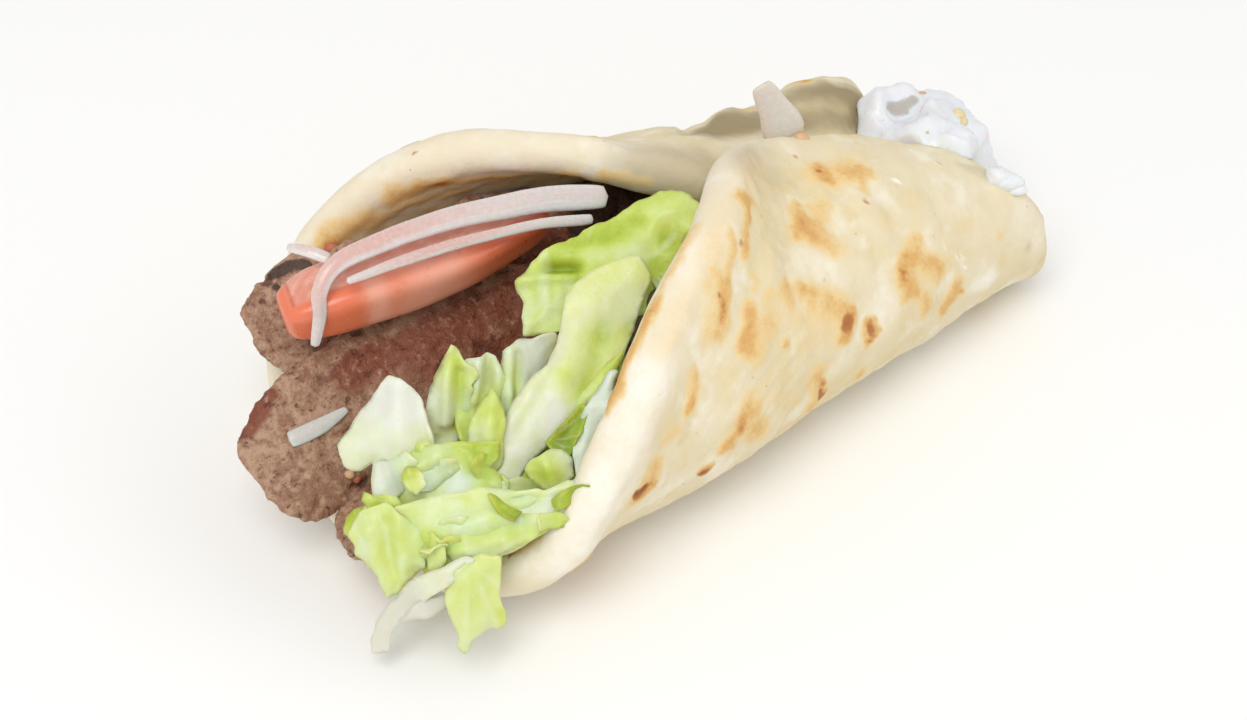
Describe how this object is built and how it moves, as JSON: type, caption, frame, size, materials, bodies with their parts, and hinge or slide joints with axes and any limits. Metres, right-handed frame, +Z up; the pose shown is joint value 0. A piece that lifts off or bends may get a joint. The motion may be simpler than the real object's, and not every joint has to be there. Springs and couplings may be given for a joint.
{
  "type": "gyro wrap",
  "caption": "Gyro wrap: a round pita folded over sliced meat, a tomato wedge, onion strips, lettuce and white yoghurt sauce, open at the wide end.",
  "frame": {"origin": "on the flat underside of the pita, in the middle of the fold", "axes": "+X along the wrap towards its narrow end, -Y towards the side whose flap lies on top, +Z up"},
  "size_m": [0.1741, 0.0943, 0.0599],
  "materials": {
    "pita_bread": "soft baked bread, cream with toasted brown spots",
    "gyro_meat": "roasted meat, moist and uneven",
    "tomato_flesh": "wet tomato skin and flesh",
    "onion_white": "wet raw onion, slightly see-through",
    "lettuce_green": "crisp lettuce leaf",
    "yoghurt_sauce": "thick white yoghurt sauce"
  },
  "bodies": {
    "root": {"pita": "pita_bread", "meat_slice_upper": "gyro_meat", "meat_slice_front": "gyro_meat", "meat_slice_lower": "gyro_meat", "tomato_wedge": "tomato_flesh", "onion_strip_long": "onion_white", "onion_strip_thin": "onion_white", "onion_strip_short": "onion_white", "onion_sliver": "onion_white", "onion_piece_top": "onion_white", "yoghurt_sauce": "yoghurt_sauce", "lettuce": "lettuce_green"}
  },
  "joints": []
}
